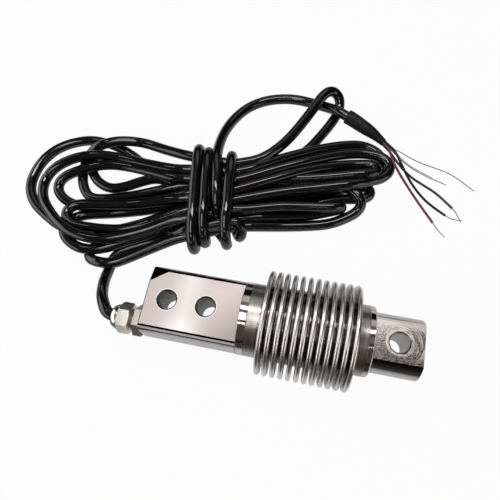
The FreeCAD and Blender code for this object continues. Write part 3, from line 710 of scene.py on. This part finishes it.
def sleevePiece():
    # outer radius read from the table along the path, plus slanting creases that die out at both ends:
    # the cosine of 3 angles and 5 shares of the length, and 0.6 of the cosine of 5 angles less 9 shares
    path = splinePath(onHank(shrinkSleeve["route"]))
    run = np.linspace(0, 1, len(path))
    share = np.linspace(0, 1, shrinkSleeve["rows"])
    centre = np.stack([np.interp(share, run, path[:, axis]) for axis in range(3)], -1)
    across, up = pathFrame(centre)[1:]
    angle = np.linspace(0, 2 * np.pi, shrinkSleeve["sides"], endpoint=False)
    radius = np.interp(share, shrinkSleeve["along"], shrinkSleeve["radius"])[:, None]
    fold = np.cos(3 * angle + 5 * share[:, None]) + 0.6 * np.cos(5 * angle - 9 * share[:, None])
    outer = radius + shrinkSleeve["crease"] * fold * np.sin(np.pi * share[:, None]) ** 0.5
    inner = np.minimum(shrinkSleeve["bore"], radius - shrinkSleeve["wall"])
    wall = np.concatenate([outer, np.broadcast_to(inner, outer.shape)[::-1]])
    rows = np.arange(len(share))
    order = np.concatenate([rows, rows[::-1]])
    points = centre[order, None] + tubeRing(across[order], up[order], angle) * wall[..., None] * mm
    return meshPiece("shrinkSleeve", points, gridFaces(*wall.shape, True, True), shrunk)


sleeve = sleevePiece()
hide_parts("heat_shrink_sleeve")

# Cores: each leaves the sleeve's end at its own seat, and its stripped tip is a twist of strands

coreRoutes = {
    "red": {"seat": (1, 1), "length": 0.051,
            "route": [(97, 23.6, 7), (98.8, 16.8, 6.4), (102.8, 9, 4.6), (109, -1.8, 2), (116, -14, 0.8)],
            "tip": [(118.2, -18.4, 0.6), (121, -22, 0.5)]},
    "black": {"seat": (-1, 1), "length": 0.052,
              "route": [(99.4, 26.2, 7.2), (102, 19, 6.2), (105.6, 10.4, 3.8), (110.4, 2.8, 1.8),
                        (116, -4, 0.8), (123, -10, 0.8)],
              "tip": [(127, -12.4, 0.5), (131, -13, 0.5)]},
    "green": {"seat": (1, -1), "length": 0.051,
              "route": [(98.4, 24.8, 4.6), (102, 18.4, 3.9), (107.2, 12.2, 2.6), (114, 7.6, 1.4),
                        (121, 2.4, 0.8), (127, -6, 0.9)],
              "tip": [(128.8, -10, 1.2), (130, -14, 1.4)]},
    "white": {"seat": (-1, -1), "length": 0.033,
              "route": [(100.6, 25.8, 4.4), (104.8, 21.2, 3), (110.6, 17, 1.6), (119, 12, 0.8)],
              "tip": [(122.6, 10, 0.6), (126, 8, 0.5)]},
}
coreShape = {
    "diameter": 1.3, "seat": 0.72, "straight": 4.0, "tipStraight": 2.0,
    "strand": 0.17, "strands": 7, "strandSides": 6, "twist": 3.2,
}
drain = {
    "diameter": 0.5, "length": 0.055,
    "route": [(101.6, 26.9, 5.8), (106.4, 23.8, 4.6), (113, 21, 2.6), (120.8, 18.6, 1), (128.6, 15.2, 0.5),
              (134.4, 10, 0.5), (140, 4, 0.5)],
}


def strandedPiece(name, points):
    # one strand in the middle and the others round it, each a tube along the path with a steady twist
    path = splinePath(points)
    across, up = pathFrame(path)[1:]
    run = np.concatenate([[0], np.cumsum(np.linalg.norm(np.diff(path, axis=0), axis=1))]) / mm
    strands = coreShape["strands"]
    strand = np.arange(strands)[:, None]
    turn = 2 * np.pi * (strand / (strands - 1) + run / coreShape["twist"])
    reach = np.where(strand == 0, 0, coreShape["strand"]) * mm
    centre = path + (reach * np.cos(turn))[..., None] * across + (reach * np.sin(turn))[..., None] * up
    rows, sides = len(path), coreShape["strandSides"]
    angle = np.linspace(0, 2 * np.pi, sides, endpoint=False)
    tubes = centre[:, :, None] + tubeRing(across, up, angle) * coreShape["strand"] / 2 * mm
    size = rows * sides
    faces = (gridFaces(rows, sides, False, True) + strand[:, None] * size).reshape(-1, 4)
    starts = [tuple(range(k * size, k * size + sides)) for k in range(strands)]
    ends = [tuple(range((k + 1) * size - 1, (k + 1) * size - sides - 1, -1)) for k in range(strands)]
    return meshPiece(name, tubes, faces, tinned, starts + ends)


sleeveEnd = onHank(shrinkSleeve["route"])[1:]
sleeveAhead, sleeveAcross, sleeveUp = (way[1] for way in pathFrame(sleeveEnd))
for colour, core in coreRoutes.items():
    side, level = core["seat"]
    seat = sleeveEnd[1] + (sleeveAcross * side + sleeveUp * level) * coreShape["seat"] * mm
    route = onHank(core["route"])
    points = np.vstack([seat, seat + sleeveAhead * coreShape["straight"] * mm, route])
    wire = cordPiece(colour + "Core", points, coreShape["diameter"] * mm, insulation[colour])
    runOut = (route[-1] - route[-2]) / np.linalg.norm(route[-1] - route[-2])
    bare = np.vstack([route[-1], route[-1] + runOut * coreShape["tipStraight"] * mm, onHank(core["tip"])])
    tip = strandedPiece(colour + "Tip", bare)
    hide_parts(colour + "_core")
    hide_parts(colour + "_tip")
drainPoints = np.vstack([sleeveEnd[1], sleeveEnd[1] + sleeveAhead * coreShape["straight"] * mm,
                         onHank(drain["route"])])
drainWire = cordPiece("drainWire", drainPoints, drain["diameter"] * mm, tinned)
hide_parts("drain_wire")
print("sleeve, cores and drain wire made")

# Bellows and its end rings, turned about the sensor's axis

bellowsShape = {
    "firstCrest": 53.5, "pitch": 3.42, "crests": 12, "crestReach": 23.05, "rootReach": 16.5,
    "crestRound": 1.05, "rootRound": 0.66, "wall": 0.4, "cuffs": (16.2, 15.35), "seams": (46.6, 96.6),
    "around": 220, "outerSteps": (19, 9), "innerSteps": (4, 3),  # points of a crest and of a root
}


def bellowsSide(inset, crestSteps, rootSteps):
    # half circles over the crests and in the roots, joined by upright walls
    # inset is how far the line lies inside the skin
    shape = bellowsShape
    bulge, hollow = shape["crestRound"] - inset, shape["rootRound"] + inset
    over = np.linspace(np.pi, 0, crestSteps)
    under = np.linspace(np.pi, 2 * np.pi, rootSteps)
    half = rootSteps // 2
    crestCentre = shape["crestReach"] - shape["crestRound"]
    crest = np.stack([bulge * np.cos(over), crestCentre + bulge * np.sin(over)], -1)
    root = np.stack([hollow * np.cos(under), shape["rootRound"] + hollow * np.sin(under)], -1)
    line = [np.array([[shape["seams"][0], shape["cuffs"][0] - inset]])]
    line.append(root[half:] + (shape["firstCrest"] - shape["pitch"] / 2, shape["cuffs"][0]))
    for index in range(shape["crests"]):
        middle = shape["firstCrest"] + index * shape["pitch"]
        line.append(crest + (middle, 0))
        if index < shape["crests"] - 1:
            line.append(root + (middle + shape["pitch"] / 2, shape["rootReach"]))
    line.append(root[:half + 1] + (middle + shape["pitch"] / 2, shape["cuffs"][1]))
    line.append(np.array([[shape["seams"][1], shape["cuffs"][1] - inset]]))
    return np.concatenate(line)


outerSide = bellowsSide(0, *bellowsShape["outerSteps"])
innerSide = bellowsSide(bellowsShape["wall"], *bellowsShape["innerSteps"])
bellowsOutline = np.concatenate([outerSide, innerSide[::-1]])
bellows = turnedPiece("bellowsSkin", bellowsOutline, bellowsSteel, bellowsShape["around"])
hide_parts("bellows")

ringShape = {
    "around": 176, "bevel": 0.28,
    "block": {"start": 43, "end": 46.6, "spigotEnd": 50.8, "reach": 16.2, "bore": 13.9, "front": 0.28},
    "load": {"start": 99.4, "end": 96.6, "spigotEnd": 92.4, "reach": 15.35, "bore": 13.0, "front": 0.5},
}


def ringPiece(name, ring):
    # collar with broken edges, then the spigot inside the bellows' cuff
    ahead = 1 if ring["end"] > ring["start"] else -1
    front, bevel = ring["front"], ringShape["bevel"]
    spigot = ring["reach"] - bellowsShape["wall"]
    outline = [(ring["start"], ring["bore"]), (ring["start"], ring["reach"] - front),
               (ring["start"] + ahead * front, ring["reach"]), (ring["end"] - ahead * bevel, ring["reach"]),
               (ring["end"], ring["reach"] - bevel), (ring["end"], spigot), (ring["spigotEnd"], spigot),
               (ring["spigotEnd"], ring["bore"])]
    return turnedPiece(name, outline, mirrorSteel, ringShape["around"])


blockRing = ringPiece("blockRing", ringShape["block"])
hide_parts("ring_block_side")
loadRing = ringPiece("loadRing", ringShape["load"])
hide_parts("ring_load_side")
print("bellows and rings turned")

# Floor, light and camera

pool = {
    "reach": 1.5, "corners": [(-1, -1), (1, -1), (1, 1), (-1, 1)], "pale": grey(0.8), "dim": grey(0.05),
    "seenWhite": 0.96, "mirroredWhite": 0.3,
    # where the light falls off towards the camera, to the left, and in a patch behind, in metres
    "near": (-0.085, -0.05), "nearSlant": 0.17, "left": (-0.08, -0.055), "leftSlant": 0.6, "leftShare": 0.1,
    "behind": (0.11, 0.15), "behindShare": 0.7, "patch": (-0.03, 0.08),
}
floorMesh = bpy.data.meshes.new("floor")
floorCorners = [(x * pool["reach"], y * pool["reach"], hank["floor"] * mm) for x, y in pool["corners"]]
floorMesh.from_pydata(floorCorners, [], [(0, 1, 2, 3)])
floor = bpy.data.objects.new("floor", floorMesh)
bpy.context.collection.objects.link(floor)


def floorFinish():
    # pale paper with a painted pool of light: the camera sees it white, and mirrors see where the painted
    # light ends
    paper = Finish("paleFloor", Roughness=0.9)
    x, y = paper.axes()[:2]
    lit = paper.between(y - x * pool["nearSlant"], *pool["near"])
    lit = lit * paper.between(x + y * pool["leftSlant"], *pool["left"], pool["leftShare"])
    behind = paper.between(y, *pool["behind"], 0.0, pool["behindShare"])
    patchStart, patchEnd = pool["patch"]
    lit = lit * (1 - behind * (x > patchStart) * (x < patchEnd))
    seen = paper.node("ShaderNodeLightPath", {}, {}, "Is Camera Ray")
    mirrored = seen.twin("Is Glossy Ray") + seen.twin("Is Transmission Ray")
    paper.feed("Base Color", paper.blend(paper.between(lit + seen, 0.0, 1.0), pool["dim"], pool["pale"]))
    whiteShare = seen * pool["seenWhite"] + mirrored * lit * pool["mirroredWhite"]
    white = paper.node("ShaderNodeEmission", {}, {"Color": grey(1), "Strength": 1.0})
    shader = Value(paper, paper.shader.outputs[0])
    mixed = paper.node("ShaderNodeMixShader", {}, {0: whiteShare, 1: shader, 2: white})
    paper.tree.links.new(mixed.socket, paper.tree.nodes["Material Output"].inputs["Surface"])
    return paper


floorMesh.materials.append(floorFinish().material)

# a dim warm room, darker towards the horizon, with a glow high on its far wall; the camera sees it white
roomLooks = {
    "low": (0.006, 0.005, 0.005, 1), "high": (0.046, 0.039, 0.036, 1), "nearWall": (0.095, 0.064, 0.053, 1),
    "glow": (0.16, 0.142, 0.132, 1), "pale": (0.62, 0.58, 0.55, 1),
    # parts of a unit vector between which each of these comes or goes
    "rise": (0.25, 0.6), "riseLean": 0.3, "nearAway": (-0.6, -0.45), "nearUp": (0.08, 0.2),
    "glowAway": (0.40, 0.48), "glowUp": (0.42, 0.52), "glowSide": (0.35, 0.5), "paleAway": (0.60, 0.68),
}
world = bpy.data.worlds.new("studio")
bpy.context.scene.world = world
room = Sheet(world)
toSide = room.node("ShaderNodeSeparateXYZ", {}, {0: room.node("ShaderNodeTexCoord", {}, {}, "Generated")})
toFar, toTop = toSide.twin(1), toSide.twin(2)
rise = room.between(toTop - toFar * roomLooks["riseLean"], *roomLooks["rise"])
walls = room.blend(rise, roomLooks["low"], roomLooks["high"])
nearWall = room.between(toFar, *roomLooks["nearAway"], 1.0, 0.0) * room.between(toTop, *roomLooks["nearUp"])
walls = room.blend(nearWall, walls, roomLooks["nearWall"])
glow = room.between(toFar, *roomLooks["glowAway"]) * room.between(toTop, *roomLooks["glowUp"])
glow = glow * room.between(toSide.size(), *roomLooks["glowSide"], 1.0, 0.0)
walls = room.blend(glow, walls, roomLooks["glow"])
walls = room.blend(glow * room.between(toFar, *roomLooks["paleAway"]), walls, roomLooks["pale"])
walls = room.blend(room.node("ShaderNodeLightPath", {}, {}, "Is Camera Ray"), walls, grey(1))
room.tree.links.new(walls.socket, room.tree.nodes["Background"].inputs["Color"])

# soft boxes overhead, and wide dim panels at the sides, each turned about y to face the object
lamps = {
    "farBox": {"spot": (-0.02, 0.32, 0.86), "size": (0.54, 0.15), "turn": 0, "radiance": 8.5},
    "leftSpot": {"spot": (-0.60, 0.32, 0.86), "size": (0.14, 0.06), "turn": 0, "radiance": 9.0},
    "middleBox": {"spot": (-0.19, -0.09, 0.86), "size": (0.24, 0.33), "turn": 0, "radiance": 4.5},
    "dimBox": {"spot": (0.09, -0.09, 0.86), "size": (0.32, 0.33), "turn": 0, "radiance": 0.15},
    "nearStrip": {"spot": (-0.04, -0.44, 0.86), "size": (0.50, 0.04), "turn": 0, "radiance": 8.0},
    "leftWall": {"spot": (-1.15, -0.4, 0.45), "size": (0.9, 2.2), "turn": -90, "radiance": 1.5},
    "rightWall": {"spot": (1.15, -0.7, 0.43), "size": (0.86, 1.2), "turn": 90, "radiance": 1.2},
}
for name, lamp in lamps.items():
    light = bpy.data.lights.new(name, "AREA")
    light.shape = "RECTANGLE"
    light.size, light.size_y = lamp["size"]
    light.energy = lamp["radiance"] * math.pi * light.size * light.size_y
    lampObject = bpy.data.objects.new(name, light)
    lampObject.location = lamp["spot"]
    lampObject.rotation_euler.y = math.radians(lamp["turn"])
    bpy.context.collection.objects.link(lampObject)

# the photograph's camera: place in mm, focal length and frame in pixels, and the ways of its own axes
view = {"spot": (48.58, -39.0, 211.56), "focal": 457.55, "frameWidth": 500,
        "sensorWidth": 36, "nearest": 0.01,
        "right": (0.9784565, 0.19674121, -0.0625762),
        "up": (-0.16335258, 0.92311913, 0.34809052),
        "back": (0.12624904, -0.33036945, 0.93537009)}
cameraData = bpy.data.cameras.new("camera")
cameraData.sensor_width = view["sensorWidth"]
cameraData.lens = view["focal"] / view["frameWidth"] * view["sensorWidth"]
cameraData.clip_start = view["nearest"]
camera = bpy.data.objects.new("camera", cameraData)
axes = Matrix((view["right"], view["up"], view["back"])).transposed()
camera.matrix_world = Matrix.Translation(Vector(view["spot"]) * mm) @ axes.to_4x4()
bpy.context.collection.objects.link(camera)
bpy.context.scene.camera = camera
bpy.context.scene.view_settings.view_transform = "Standard"
print("camera and light set")
